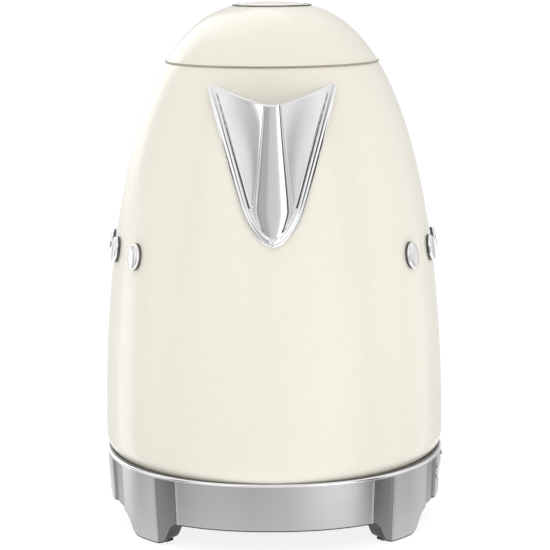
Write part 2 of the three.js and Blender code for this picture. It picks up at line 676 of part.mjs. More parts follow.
function addLidButton() {
  const cap = turned([
    [0, 250], [BUTTON_R, 250], [BUTTON_R, 254.6], [BUTTON_R - 0.5, 255.3], [13, 255.9], [0, BUTTON_TOP_Z],
  ], 32);
  const stemSide = [[-6, 251], [-6, 229], [0, 229], [6, 235], [6, 251]];
  const stem = prism(stemSide, 'x', -4.5, 4.5);
  addPart('lid_button', join(cap, stem), 'cream');
  addPart('button_spring', coil(10.2, 0.7, 4, 10, 'z', [0, 0, 243.8]), 'steel');
  const bar = boxBetween([-4.5, -48.6, 222.2], [4.5, 8, 225.2]);
  const lug = prism([[-3.4, 225], [3.5, 232], [8, 232], [8, 225]], 'x', -4.5, 4.5);
  addPart('lid_latch', join(bar, lug), 'white');
}

// ---- plain oval studs, three on each side of the body ----
function addStuds() {
  const seat = domeSolid(0.3, STUD_Z - 20, STUD_Z + 20, 8);
  STUD_ANGLES.forEach((degrees, i) => {
    for (const [side, sign] of [['right', 1], ['left', -1]]) {
      const [x, y] = heading(sign * degrees);
      const dome = new THREE.SphereGeometry(1, 12, 8);
      dome.scale(3, 4.6, 6.6);
      dome.rotateZ(Math.atan2(y, x));
      const reach = domeR(STUD_Z) - 0.2;
      dome.translate(reach * x, reach * y, STUD_Z);
      addPart(`side_stud_${side}_${i + 1}`, cut(toSolid(dome), seat), 'chrome');
    }
  });
}

addPowerBase();
addVessel();
addBottomCover();
addHandle();
addLid();
addLidButton();
addStuds();

kettle.position.y = AXIS_Y;
const group = new THREE.Group();
group.add(kettle);

export default group;
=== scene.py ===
import json
import math

import bmesh
import bpy
import numpy as np
from mathutils import Euler, Matrix, Vector


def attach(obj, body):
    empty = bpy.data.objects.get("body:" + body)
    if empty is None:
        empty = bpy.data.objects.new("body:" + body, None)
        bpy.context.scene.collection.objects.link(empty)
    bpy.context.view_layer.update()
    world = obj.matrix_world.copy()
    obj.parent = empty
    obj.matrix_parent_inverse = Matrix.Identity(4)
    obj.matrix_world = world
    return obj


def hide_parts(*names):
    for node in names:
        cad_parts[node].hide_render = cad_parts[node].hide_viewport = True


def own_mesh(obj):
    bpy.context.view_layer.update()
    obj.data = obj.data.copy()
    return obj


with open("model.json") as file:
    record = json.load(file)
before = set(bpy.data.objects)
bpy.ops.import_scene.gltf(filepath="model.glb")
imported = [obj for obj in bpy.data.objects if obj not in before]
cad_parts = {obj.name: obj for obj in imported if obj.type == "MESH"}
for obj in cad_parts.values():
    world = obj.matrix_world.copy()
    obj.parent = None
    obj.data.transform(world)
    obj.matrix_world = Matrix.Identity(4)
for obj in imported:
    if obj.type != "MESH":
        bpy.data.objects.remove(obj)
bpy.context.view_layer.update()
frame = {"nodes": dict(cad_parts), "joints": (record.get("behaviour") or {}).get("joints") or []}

# Looks of an electric kettle. Shapes are worked out in millimetres round the kettle's own upright axis,
# with the spout towards -Y, and make_piece() moves them to the frame, in metres.
MM = 0.001
JOINTS = {joint["name"]: joint for joint in frame["joints"]}
AXIS_Y = JOINTS["kettle_swivel"]["pos_m"][1]

BODY_R = 85.5
DOME_FOOT_Z = 36
DOME_TOP_Z = 256.25
DOME_R_POWER = 2.74
DOME_Z_POWER = 2.18
BODY_BOTTOM_Z = 34
BODY_TOP_Z = 227.4
TUCK_H = 10
TUCK_R = 5
SHELL_T = 1.4
ENAMEL_T = 0.65
LID_BOTTOM_Z = 228
BUTTON_R = 16.8

BASE_R = 84.8
BASE_POWER = 2.2
BASE_RIM_Z = 35.5
BAND_BOTTOM_Z = 12
LEG_BOTTOM_Z = 0.6
LEG_HALF_WIDTHS = (11.6, 15.3)    # from a leg's middle towards the front or back, and towards the side
COVES = ((-12, -3.9), (14.6, 24.3))    # two per leg, in degrees of leg_turn
COVE_DEPTH = 1.1
COVE_SIDE = 0.11            # share of a cove's width that each sloping side takes
COVE_TOP_Z = BASE_RIM_Z - 2
BASE_DRAFT = 0.05
BAND_T = 2.4
SHADE_STRIP_H = 0.65               # height of the black strip of painted shade along the band's lower edge
RIM_LOW_Z = 34.25
LIP_R = 83.4
SKIN_INNER_R = 82.2
INSIDE_R = SKIN_INNER_R - 0.4
HUB_R = 38
GLAND_Z = 8.2
LEGS = ((0, 1), (90, -1), (180, 1), (270, -1))    # each leg's quarter, and which way its outer side is
BUTTON_ANGLES = {"start_button": 76, "temperature_button": 90, "keep_warm_button": 104}
BUTTON_HOLE_R = 4.35
BAND_REACH = (78, 92)       # from inside the band to outside it, for what cuts holes in it
BAND_SHARP = 24
CONTROL_Z = 23
LENS_HALF = 12.3
LENS_Z = (29.05, 31.35)
MARK_HEADING = 70.6

SPOUT_TIP_Z = 147
LIP_CENTRE_Z = 212.4
HORN_X = 27.4               # where the rounded end of a horn starts, and its width and depth
HORN_W = 3.3
HORN_DROP = 3.0
BEAD_W = 3.8
CREASE_AT = 3.7             # painted dark reflection along the inside of the spout's bead: how far in, and from where to where
CREASE_Z = (164.5, 216)

HANDLE_W = 26
HANDLE_T = 13
HANDLE_BACK_Y = 140.44
PIN_Y = 59.5
PIN_Z = 229.5
PIN_R = 1.5
WINDOW_Z = (104, 176)
STUD_ANGLES = (55.5, 73.5, 91.5)
STUD_Z = 137.3
STUD_HALF_W = 4.5
STUD_HALF_H = 6.4

FINE = 256                  # steps round a large turned piece

# How bright the room is all round, below the horizon and above it. Azimuth 0 is the camera's side, 90 the
# right and 180 behind the kettle. A soft light stands right of the camera, with a dark strip beside it.
WALL_LOW = (
    (-180, 1.25), (-169, 1.25), (-161, 0.8), (-148, 0.75), (-134, 0.8), (-127, 1.75), (-115, 1.75),
    (-108, 0.55), (-102, 0.5), (-92, 0.85), (-82, 0.85), (-76, 0.4), (-70, 0.3), (-62, 0.48), (-12, 0.5),
    (4, 0.74), (20, 1.35), (36, 1.65), (50, 1.4), (58, 0.6), (63, 0.04), (70, 0.06), (77, 0.6), (90, 0.8),
    (102, 0.55), (112, 0.9), (122, 1.05), (134, 0.6), (160, 0.75), (169, 1.25), (180, 1.25),
)
WALL_HIGH = (
    (-180, 0.75), (-167, 0.6), (-158, 1.75), (-136, 1.75), (-128, 0.7), (-118, 0.6), (-100, 1.0),
    (-84, 1.1), (-72, 0.9), (-66, 0.2), (-58, 0.2), (-52, 1.0), (-35, 1.35), (-22, 1.3), (-12, 0.85),
    (14, 0.85), (26, 1.3), (46, 1.25), (52, 0.1), (66, 0.06), (74, 0.8), (86, 1.08), (104, 1.0),
    (120, 0.85), (138, 0.7), (160, 0.65), (180, 0.75),
)
ROOM_ABOVE = 1.0
ROOM_BELOW = 1.75
FLOOR_GLOW = 0.85


# ---- meshes
def add_object(name, data):
    thing = bpy.data.objects.new(name, data)
    bpy.context.scene.collection.objects.link(thing)
    return thing


def make_piece(name, points, faces, material, body, replaces=(), sharp=32):
    """A mesh from points in millimetres, riding on a CAD body in place of CAD nodes."""
    placed = np.array(points, float) * MM
    placed[:, 1] += AXIS_Y
    mesh = bpy.data.meshes.new(name)
    mesh.from_pydata(placed.tolist(), [], faces)
    clean = bmesh.new()
    clean.from_mesh(mesh)
    bmesh.ops.remove_doubles(clean, verts=clean.verts, dist=1e-6)
    bmesh.ops.recalc_face_normals(clean, faces=clean.faces)
    clean.to_mesh(mesh)
    clean.free()
    mesh.materials.append(material)
    mesh.shade_smooth()
    mesh.set_sharp_from_angle(angle=math.radians(sharp))
    piece = add_object(name, mesh)
    if body:
        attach(piece, body)
    if replaces:
        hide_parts(*replaces)
    return piece


def loft(name, rings, material, body, replaces=(), endless=False, sharp=32):
    """Quads between rings of points, with a flat face on each end unless the rings close on themselves."""
    points = [point for ring in rings for point in ring]
    count, around = len(rings), len(rings[0])
    faces = []
    for i in range(count if endless else count - 1):
        here, following = i * around, ((i + 1) % count) * around
        for j in range(around):
            k = (j + 1) % around
            faces.append((here + j, here + k, following + k, following + j))
    if not endless:
        faces.append(tuple(range(around)))
        faces.append(tuple((count - 1) * around + j for j in range(around)))
    return make_piece(name, points, faces, material, body, replaces, sharp)


def rounded(profile, radius, steps=4):
    """A closed outline with each corner replaced by an arc, no wider than its edges allow."""
    corners = [np.array(corner[:2], float) for corner in profile]
    radii = [corner[2] if len(corner) > 2 else radius for corner in profile]
    out = []
    for i, corner in enumerate(corners):
        to_last = corners[i - 1] - corner
        to_next = corners[(i + 1) % len(corners)] - corner
        last_length, next_length = np.linalg.norm(to_last), np.linalg.norm(to_next)
        to_last, to_next = to_last / last_length, to_next / next_length
        bend = math.acos(np.clip(to_last @ to_next, -1, 1))
        if radii[i] <= 0 or bend > math.radians(172) or corner[0] < 1e-6:
            out.append(tuple(corner))
            continue
        reach = min(radii[i] / math.tan(bend / 2), 0.45 * last_length, 0.45 * next_length)
        start, end = corner + to_last * reach, corner + to_next * reach
        for t in np.linspace(0, 1, steps + 1):
            out.append(tuple((1 - t) ** 2 * start + 2 * t * (1 - t) * corner + t * t * end))
    return out


def full_turn(count):
    return np.linspace(0, 2 * math.pi, count, endpoint=False)


def circle(radius, count, x=0, y=0):
    return [(x + radius * math.cos(a), y + radius * math.sin(a)) for a in full_turn(count)]


def heading(degrees):
    """Direction on the plan, as an angle from the spout towards +X."""
    angle = math.radians(degrees)
    return math.sin(angle), -math.cos(angle)


def upright(degrees, outline):
    """An outline of (radius, height) stood up at a heading."""
    x, y = heading(degrees)
    return [(r * x, r * y, z) for r, z in outline]


def spun(outline, around, centre=(0, 0)):
    """Rings of an outline of (radius, height) turned round an upright axis."""
    return [
        [(centre[0] + r * math.cos(a), centre[1] + r * math.sin(a), z) for r, z in outline]
        for a in full_turn(around)
    ]


def turned(name, profile, material, body, replaces=(), radius=0.4, around=FINE, centre=(0, 0)):
    """A piece turned from a closed outline, with its corners rounded."""
    rings = spun(rounded(profile, radius), around, centre)
    return loft(name, rings, material, body, replaces, endless=True)


def aside(degrees, z, side, up, out):
    """The point reached from height z on the axis by going out at a heading, then sideways and up."""
    x, y = heading(degrees)
    return out * x - side * y, out * y + side * x, z + up


def bevelled(piece, width, angle=50):
    bevel = piece.modifiers.new("edges", "BEVEL")
    bevel.width = width * MM
    bevel.segments = 3
    bevel.angle_limit = math.radians(angle)


def subtract(piece, cutter, sharp=32):
    modifier = piece.modifiers.new("cut", "BOOLEAN")
    modifier.operation = "DIFFERENCE"
    modifier.solver = "EXACT"
    modifier.object = cutter
    bpy.context.view_layer.update()
    result = bpy.data.meshes.new_from_object(piece.evaluated_get(bpy.context.evaluated_depsgraph_get()))
    piece.modifiers.remove(modifier)
    piece.data = result
    bpy.data.objects.remove(cutter)
    piece.data.set_sharp_from_angle(angle=math.radians(sharp))


def carve(piece, outlines, low, high):
    """Cuts prisms of (x, z) outlines through a piece, along Y."""
    for outline in outlines:
        rings = [[(x, y, z) for x, z in outline] for y in (low, high)]
        subtract(piece, loft("cutter", rings, piece.data.materials[0], None))


def bore(piece, degrees, z, radius, reach, sharp):
    """Cuts a round hole through a piece, straight out from the kettle's axis."""
    rings = [[aside(degrees, z, side, up, out) for side, up in circle(radius, 48)] for out in reach]
    subtract(piece, loft("cutter", rings, piece.data.materials[0], None), sharp)


def rounded_box(half_width, low, high, radius, steps=8):
    corners = (
        (half_width - radius, low + radius, -90), (half_width - radius, high - radius, 0),
        (-half_width + radius, high - radius, 90), (-half_width + radius, low + radius, 180),
    )
    angles = np.linspace(0, 90, steps + 1)
    return [
        (x + radius * math.cos(math.radians(start + a)), z + radius * math.sin(math.radians(start + a)))
        for x, z, start in corners for a in angles
    ]


# ---- materials
class Nodes:
    """A node tree, and a few helpers to build it."""

    def __init__(self, tree):
        self.tree = tree

    def node(self, kind, **settings):
        node = self.tree.nodes.new(kind)
        for key, value in settings.items():
            setattr(node, key, value)
        return node

    def link(self, source, target):
        self.tree.links.new(source, target)

    def ramp(self, value, low, high, to_low=0, to_high=1):
        ramp = self.node("ShaderNodeMapRange")
        for key, number in zip(("From Min", "From Max", "To Min", "To Max"), (low, high, to_low, to_high)):
            ramp.inputs[key].default_value = number
        self.link(value, ramp.inputs["Value"])
        return ramp.outputs[0]

    def scaled(self, value, factor):
        scale = self.node("ShaderNodeMath", operation="MULTIPLY")
        scale.inputs[1].default_value = factor
        self.link(value, scale.inputs[0])
        return scale.outputs[0]

    def angle(self, opposite, adjacent):
        angle = self.node("ShaderNodeMath", operation="ARCTAN2")
        self.link(opposite, angle.inputs[0])
        self.link(adjacent, angle.inputs[1])
        return angle.outputs[0]

    def split(self, vector):
        split = self.node("ShaderNodeSeparateXYZ")
        self.link(vector, split.inputs[0])
        return split.outputs

    def mix(self, share, first, second):
        """A mix of two colours, each given as a value or as the output that makes it."""
        mix = self.node("ShaderNodeMix", data_type="RGBA")
        self.link(share, mix.inputs["Factor"])
        for key, color in (("A", first), ("B", second)):
            if isinstance(color, tuple):
                mix.inputs[key].default_value = (*color, 1)
            else:
                self.link(color, mix.inputs[key])
        return mix.outputs["Result"]


class Finish(Nodes):
    """A material with one Principled shader, and helpers that drive its inputs."""

    def __init__(self, name, color, roughness, metallic=0.0):
        self.material = bpy.data.materials.new(name)
        self.material.use_nodes = True
        super().__init__(self.material.node_tree)
        self.shader = self.tree.nodes["Principled BSDF"]
        self.shader.inputs["Base Color"].default_value = (*color, 1)
        self.shader.inputs["Roughness"].default_value = roughness
        self.shader.inputs["Metallic"].default_value = metallic

    def set(self, **values):
        for key, value in values.items():
            self.shader.inputs[key.replace("_", " ")].default_value = value

    def place(self):
        return self.node("ShaderNodeTexCoord").outputs["Object"]

    def around_axis(self, turn_scale, height_scale):
        """Coordinates that follow the kettle's axis: angle and height, each with its own scale."""
        centre = self.node("ShaderNodeVectorMath", operation="SUBTRACT")
        centre.inputs[1].default_value = (0, AXIS_Y, 0)
        self.link(self.place(), centre.inputs[0])
        parts = self.split(centre.outputs[0])
        joined = self.node("ShaderNodeCombineXYZ")
        self.link(self.scaled(self.angle(parts["Y"], parts["X"]), turn_scale), joined.inputs[0])
        self.link(self.scaled(parts["Z"], height_scale), joined.inputs[1])
        return joined.outputs[0]

    def noise(self, scale, detail, where=None, roughness=0.55):
        noise = self.node("ShaderNodeTexNoise")
        noise.inputs["Scale"].default_value = scale
        noise.inputs["Detail"].default_value = detail
        noise.inputs["Roughness"].default_value = roughness
        self.link(where if where is not None else self.place(), noise.inputs["Vector"])
        return noise.outputs["Fac"]

    def tint(self, value, first, second, low=0.35, high=0.65):
        self.link(self.mix(self.ramp(value, low, high), first, second), self.shader.inputs["Base Color"])

    def gloss(self, value, smooth, rough):
        self.link(self.ramp(value, 0.35, 0.65, smooth, rough), self.shader.inputs["Roughness"])

    def bump(self, value, depth, strength):
        bump = self.node("ShaderNodeBump")
        bump.inputs["Distance"].default_value = depth
        bump.inputs["Strength"].default_value = strength
        self.link(value, bump.inputs["Height"])
        self.link(bump.outputs[0], self.shader.inputs["Normal"])


def enamel():
    finish = Finish("cream_enamel", (0.925, 0.885, 0.78), 0.28)
    finish.set(Coat_Weight=0.8, Coat_Roughness=0.02, Coat_IOR=1.32, Specular_IOR_Level=0.2)
    finish.tint(finish.noise(14, 2), (0.93, 0.891, 0.786), (0.92, 0.879, 0.774))
    finish.gloss(finish.noise(60, 3), 0.24, 0.32)
    finish.bump(finish.noise(260, 1), 0.000001, 0.3)
    return finish.material


def metal(name, color, roughness, first, second, spots, smooth, rough, grain):
    """Polished or satin metal. Its spots and its grain are noises, each of a scale and a detail."""
    finish = Finish(name, color, roughness, 1.0)
    finish.tint(finish.noise(*spots), first, second)
    finish.gloss(finish.noise(*grain), smooth, rough)
    return finish.material


def brushed(name, light, dark, smooth=0.32, rough=0.37, depth=0.000004):
    """Steel brushed round the kettle's axis: long streaks along the turn, fine across it."""
    finish = Finish(name, light, smooth, 1.0)
    finish.set(Anisotropic=0.9)
    axis = finish.node("ShaderNodeCombineXYZ")
    axis.inputs["Z"].default_value = 1
    finish.link(axis.outputs[0], finish.shader.inputs["Tangent"])
    streaks = finish.noise(1.0, 6, finish.around_axis(2.2, 5200), 0.7)
    broad = finish.noise(1.0, 3, finish.around_axis(5.0, 900), 0.6)
    finish.tint(streaks, dark, light, 0.25, 0.75)
    finish.gloss(broad, smooth, rough)
    finish.bump(streaks, depth, 0.5)
    return finish.material


def plastic(name, light, dark, smooth, rough, grain, depth):
    finish = Finish(name, light, smooth)
    finish.tint(finish.noise(40, 3), dark, light)
    finish.gloss(finish.noise(grain, 2), smooth, rough)
    finish.bump(finish.noise(grain, 2), depth, 0.6)
    return finish.material


def circuit_board():
    finish = Finish("circuit_board", (0.02, 0.15, 0.07), 0.4)
    traces = finish.node("ShaderNodeTexBrick")
    finish.link(finish.place(), traces.inputs["Vector"])
    for key, value in (
        ("Scale", 160), ("Mortar Size", 0.03), ("Color1", (0.012, 0.11, 0.05, 1)),
        ("Color2", (0.02, 0.15, 0.065, 1)), ("Mortar", (0.05, 0.26, 0.11, 1)),
    ):
        traces.inputs[key].default_value = value
    finish.link(traces.outputs["Color"], finish.shader.inputs["Base Color"])
    finish.gloss(finish.noise(300, 2), 0.3, 0.5)
    return finish.material


def clear_plastic():
    finish = Finish("clear_plastic", (0.86, 0.91, 0.93), 0.06)
    finish.set(Transmission_Weight=0.92, IOR=1.49)
    finish.tint(finish.noise(60, 2), (0.86, 0.91, 0.93), (0.80, 0.86, 0.89))
    finish.gloss(finish.noise(260, 3), 0.04, 0.12)
    return finish.material


ENAMEL = enamel()
CHROME = metal("chrome", (0.84, 0.84, 0.85), 0.06, (0.85, 0.85, 0.86), (0.82, 0.82, 0.83), (30, 2),
               0.035, 0.085, (180, 4))
# chrome darkened as a painted dark reflection, for the spout's crease, the studs' side walls and the foot of
# the button's ring
PAINTED_DARK_REFLECTION = metal("painted_dark_reflection", (0.1, 0.1, 0.105), 0.1, (0.11, 0.11, 0.115), (0.09, 0.09, 0.095), (30, 2),
                    0.08, 0.14, (180, 4))
# darker copies of the brushed steel, as painted shade: for the lip in the gap under the body, and for the
# coves beside the legs
SHADE_PAINTED_STEEL = brushed("shade_painted_steel", (0.27, 0.265, 0.265), (0.23, 0.225, 0.225))
HALF_SHADE_PAINTED_STEEL = brushed("half_shade_painted_steel", (0.37, 0.365, 0.365), (0.33, 0.325, 0.325))
BRUSHED = brushed("brushed_base", (0.53, 0.525, 0.53), (0.48, 0.475, 0.48))
LINER = brushed("stainless_liner", (0.66, 0.66, 0.67), (0.56, 0.56, 0.57), 0.26, 0.38, 0.00002)
STEEL = metal("satin_steel", (0.62, 0.62, 0.63), 0.3, (0.60, 0.60, 0.61), (0.68, 0.68, 0.69), (90, 3),
              0.22, 0.38, (700, 4))
BLACK = plastic("black_plastic", (0.022, 0.022, 0.024), (0.016, 0.016, 0.018), 0.38, 0.52, 1800, 0.00003)
INK = plastic("control_ink", (0.02, 0.02, 0.022), (0.014, 0.014, 0.016), 0.3, 0.4, 900, 0.00001)
RUBBER = plastic("rubber", (0.028, 0.028, 0.03), (0.018, 0.018, 0.019), 0.68, 0.85, 1200, 0.00005)
WHITE = plastic("white_plastic", (0.78, 0.78, 0.76), (0.72, 0.72, 0.70), 0.38, 0.5, 1500, 0.00002)
SILICONE = plastic("silicone", (0.66, 0.64, 0.59), (0.58, 0.56, 0.52), 0.55, 0.7, 900, 0.00003)
SEAL = plastic("tan_seal", (0.50, 0.44, 0.35), (0.46, 0.40, 0.32), 0.45, 0.6, 900, 0.00002)
BRASS = metal("brass", (0.72, 0.52, 0.22), 0.25, (0.66, 0.47, 0.20), (0.78, 0.58, 0.27), (220, 3),
              0.18, 0.34, (500, 3))
BOARD = circuit_board()
CLEAR = clear_plastic()


# ---- the dome and the base's plan
def dome_r(z):
    z = np.asarray(z, float)
    rise = np.clip((z - DOME_FOOT_Z) / (DOME_TOP_Z - DOME_FOOT_Z), 0, 1)
    curve = BODY_R * (1 - rise ** DOME_Z_POWER) ** (1 / DOME_R_POWER)
    curl = np.clip((BODY_BOTTOM_Z + TUCK_H - z) / TUCK_H, 0, 1)
    return curve - TUCK_R * (1 - np.sqrt(1 - curl ** 2))


def dome_heights(low, high, count):
    """Heights that lie closer together near both ends, where the curve turns fastest."""
    t = np.linspace(0, 1, count)
    return low + (high - low) * (t + (1 - np.cos(np.pi * t)) / 2) / 2


def dome_shell(name, inner, outer, low, high, count, material, body, replaces=(), edge=0.3, rim_drop=0):
    """A shell of revolution that follows the dome, from one offset to another, rolled in at its top edge."""
    rim_h = 2.6
    heights = dome_heights(low, high, count)
    outside = []
    for z in heights:
        drop = rim_drop * max(0, (z - high + rim_h) / rim_h) ** 2
        outside.append((float(dome_r(z)) + outer - drop, float(z)))
    inside = [(float(dome_r(z)) + inner, float(z)) for z in heights[::-1]]
    rings = spun(rounded(outside + inside, edge), FINE)
    return loft(name, rings, material, body, replaces, endless=True)


def base_r(degrees):
    x, y = heading(degrees)
    return BASE_R / (abs(x) ** BASE_POWER + abs(y) ** BASE_POWER) ** (1 / BASE_POWER)


def leg_turn(degrees):
    """Degrees from the middle of the nearest leg, positive towards the kettle's left or right side."""
    from_front = abs(degrees - 360 * round(degrees / 360))
    return min(from_front, 180 - from_front) - 45


def leg_drop(degrees, extra=0):
    """How far down the leg reaches at a heading: 1 at its middle, 0 away from it."""
    turn = leg_turn(degrees)
    along = math.radians(abs(turn)) * BASE_R
    return 1 / (1 + (along / (LEG_HALF_WIDTHS[int(turn > 0)] + extra)) ** 8)


def leg_bottom(degrees):
    return BAND_BOTTOM_Z - (BAND_BOTTOM_Z - LEG_BOTTOM_Z) * leg_drop(degrees)


def cove_depth(degrees):
    turn = leg_turn(degrees)
    shares = [min(turn - start, end - turn) / (end - start) / COVE_SIDE for start, end in COVES]
    return COVE_DEPTH * min(1, max(0, *shares))


def band_r(degrees, z):
    """Radius of the band's outer face, which draws in a little towards the worktop."""
    return base_r(degrees) - BASE_DRAFT * (BASE_RIM_Z - z)


# ---- power base
def base_angles():
    """Close together at the legs, and with a column on each side of every crisp upright edge."""
    edge = 0.1
    turns = []
    for start, end in COVES:
        side = COVE_SIDE * (end - start)
        turns += [start, start + side, end - side, end]
    marks = [-45] + [turn + offset for turn in turns for offset in (-edge, edge)] + [45]
    counts = (24, 1, 2, 1, 12, 1, 2, 1, 30, 1, 2, 1, 10, 1, 2, 1, 16)
    quarter = []
    for start, end, count in zip(marks, marks[1:], counts):
        quarter += [45 + a for a in np.linspace(start, end, count, endpoint=False)]
    half = quarter + [180 - a for a in (quarter[1:] + [90])[::-1]]
    return half + [180 + a for a in half]


def band_foot(degrees):
    """Height of the band's lower edge, and the radius of its outer and its inner face there."""
    bottom = leg_bottom(degrees)
    outside = band_r(degrees, bottom) - cove_depth(degrees)
    return bottom, outside, max(SKIN_INNER_R, outside - BAND_T)


def shade_strip_outline(degrees):
    bottom, outside, inside = band_foot(degrees)
    top = bottom + SHADE_STRIP_H - 0.02
    return [
        (outside - 0.35, bottom), (outside - 0.08, bottom + 0.1), (outside, bottom + 0.35), (outside, top),
        (inside, top), (inside, bottom),
    ]


def band_outline(degrees):
    bottom, _, inside = band_foot(degrees)
    rim, low, above = base_r(degrees), bottom + SHADE_STRIP_H, COVE_TOP_Z + 0.22
    heights = [low, *np.linspace(low + 0.4, COVE_TOP_Z, 9)]
    return [(band_r(degrees, z) - cove_depth(degrees), z) for z in heights] + [
        (band_r(degrees, above), above), (band_r(degrees, RIM_LOW_Z), RIM_LOW_Z - 0.1),
        (rim - 0.15, RIM_LOW_Z - 0.02), (SKIN_INNER_R + 0.6, RIM_LOW_Z - 0.02),
        (SKIN_INNER_R, RIM_LOW_Z - 0.3), (inside, low),
    ]


def rim_outline(degrees):
    rim = base_r(degrees)
    return [
        (rim - 0.3, RIM_LOW_Z), (rim - 0.06, RIM_LOW_Z + 0.03), (rim, RIM_LOW_Z + 0.12), (rim - 0.02, 34.7),
        (rim - 0.14, 34.98), (rim - 0.36, 35.24), (rim - 0.6, 35.42), (rim - 0.85, BASE_RIM_Z),
        (rim - 1.0, BASE_RIM_Z - 0.1), (rim - 1.0, RIM_LOW_Z),
    ]


def lip_outline(degrees):
    rim, inner, low = base_r(degrees), SKIN_INNER_R + 0.02, BASE_RIM_Z - 2
    return [
        (rim - 1.03, RIM_LOW_Z), (rim - 1.03, BASE_RIM_Z - 0.16), (rim - 1.15, BASE_RIM_Z - 0.1),
        (LIP_R + 0.1, BASE_RIM_Z - 0.1), (LIP_R, BASE_RIM_Z - 0.2), (LIP_R, low), (inner, low),
        (inner, RIM_LOW_Z),
    ]


def base_ring(name, outline, material, replaces=(), sharp=40):
    """A ring round the whole base, whose outline changes with the heading."""
    rings = [upright(degrees, outline(degrees)) for degrees in base_angles()]
    return loft(name, rings, material, "power_base", replaces, endless=True, sharp=sharp)


def base_skin():
    """The brushed band with its four legs, a black strip of painted shade along its lower edge, and the
    polished rim on top of it.
    """
    band = base_ring("base_band", band_outline, BRUSHED, ("base_skin",), BAND_SHARP)
    for degrees in BUTTON_ANGLES.values():
        bore(band, degrees, CONTROL_Z, BUTTON_HOLE_R, BAND_REACH, BAND_SHARP)
    low, high = LENS_Z
    slot = rounded([(-LENS_HALF, low), (LENS_HALF, low), (LENS_HALF, high), (-LENS_HALF, high)], 0.5)
    rings = [[(x, y, z) for y, z in slot] for x in BAND_REACH]
    subtract(band, loft("cutter", rings, BRUSHED, None), BAND_SHARP)
    # a black strip along the band's lower edge, as painted shade under it
    base_ring("base_shade_strip", shade_strip_outline, BLACK)
    base_ring("base_rim", rim_outline, CHROME)
    # the lip inside the rim in the darker steel: painted shade in the gap between the body and the rim
    base_ring("base_lip", lip_outline, SHADE_PAINTED_STEEL)


def cove_shade_rings(quarter, way, start, end):
    """A plate of painted shade on the floor of a cove, from just above the strip of painted shade to just
    under the cove's top.
    """
    side = COVE_SIDE * (end - start)
    floor = np.linspace(start + side, end - side, 21)
    rings = []
    for turn in (start + 0.1, start + side / 2, *floor, end - side / 2, end - 0.1):
        degrees = quarter + 45 + way * turn
        heights = np.linspace(leg_bottom(degrees) + SHADE_STRIP_H, COVE_TOP_Z - 0.1, 8)
        column = [(band_r(degrees, z) - cove_depth(degrees) + 0.05, z) for z in heights]
        column += [(r - 0.3, z) for r, z in column[::-1]]
        rings.append(upright(degrees, column))
    return rings


def leg_cove_shades():
    """A thin plate in each cove beside every leg, darker steel as painted shade for the recess: full shade in
    the coves towards the front or back, half in those towards the sides.
    """
    places = [(quarter, way, start, end) for quarter, way in LEGS for start, end in COVES]
    for number, place in enumerate(places, 1):
        finish = SHADE_PAINTED_STEEL if place[2] < 0 else HALF_SHADE_PAINTED_STEEL
        loft(f"leg_cove_shade_{number}", cove_shade_rings(*place), finish, "power_base")


def leg_cores():
    """Black legs behind the steel skin, one loft of upright slices each."""
    inner, top = INSIDE_R - 7, 13.5
    for number, (quarter, way) in enumerate(LEGS, 1):
        rings = []
        for turn in np.linspace(-12.2, 14.6, 67):
            degrees = quarter + 45 + way * turn
            bottom = BAND_BOTTOM_Z + 1.3 - (BAND_BOTTOM_Z - 0.3) * leg_drop(degrees, 0.4)
            low = min(bottom, top - 0.1)
            outline = rounded([(INSIDE_R, low), (INSIDE_R, top), (inner, top), (inner, low)], 0.5)
            rings.append(upright(degrees, outline))
        loft(f"leg_core_{number}", rings, BLACK, "power_base")


def rubber_feet():
    """A pad with soft edges under each leg, along the base's rim."""
    inner, outer, high = INSIDE_R - 6, INSIDE_R - 1, 1.25
    pad = rounded([(outer, 0), (outer, high), (inner, high), (inner, 0)], 0.4)
    for number, (quarter, _) in enumerate(LEGS, 1):
        rings = [upright(quarter + 45 + turn, pad) for turn in np.linspace(-4.4, 4.4, 24)]
        name = f"rubber_foot_{number}"
        loft(name + "_pad", rings, RUBBER, "power_base", (name,))


def base_plastic():
    tray = [
        (0, 2.5), (HUB_R, 2.5, 1.2), (HUB_R, 13.6, 1.5), (INSIDE_R, 13.6), (INSIDE_R, 15.4),
        (HUB_R - 2, 15.4), (HUB_R - 2, 4.3), (0, 4.3),
    ]
    floor = turned("tray_floor", tray, BLACK, "power_base", ("base_tray",))
    carve(floor, [circle(4.95, 48, 0, GLAND_Z)], 32, 45)
    plate = [
        (17.4, 30.8), (INSIDE_R, 30.8), (INSIDE_R, 33.2), (74, 33.2, 1), (72.6, 32.2, 1), (66.4, 32.2, 1),
        (65, 33.2, 1), (40, 33.2, 1), (39, 32.4, 1), (36, 32.4, 1), (35, 33.2, 1), (17.4, 33.2),
    ]
    turned("top_plate", plate, BLACK, "power_base", ("base_top_plate",), 0.3)
    gland = rounded([(3.5, -7), (4.7, -7), (4.7, 0.3), (5.1, 0.3), (5.1, 2), (4.6, 7), (3.5, 7)], 0.35)
    rings = [
        [(r * math.cos(a), HUB_R + along, GLAND_Z + r * math.sin(a)) for r, along in gland]
        for a in full_turn(64)
    ]
    loft("gland_sleeve", rings, RUBBER, "power_base", ("cord_gland",), endless=True)


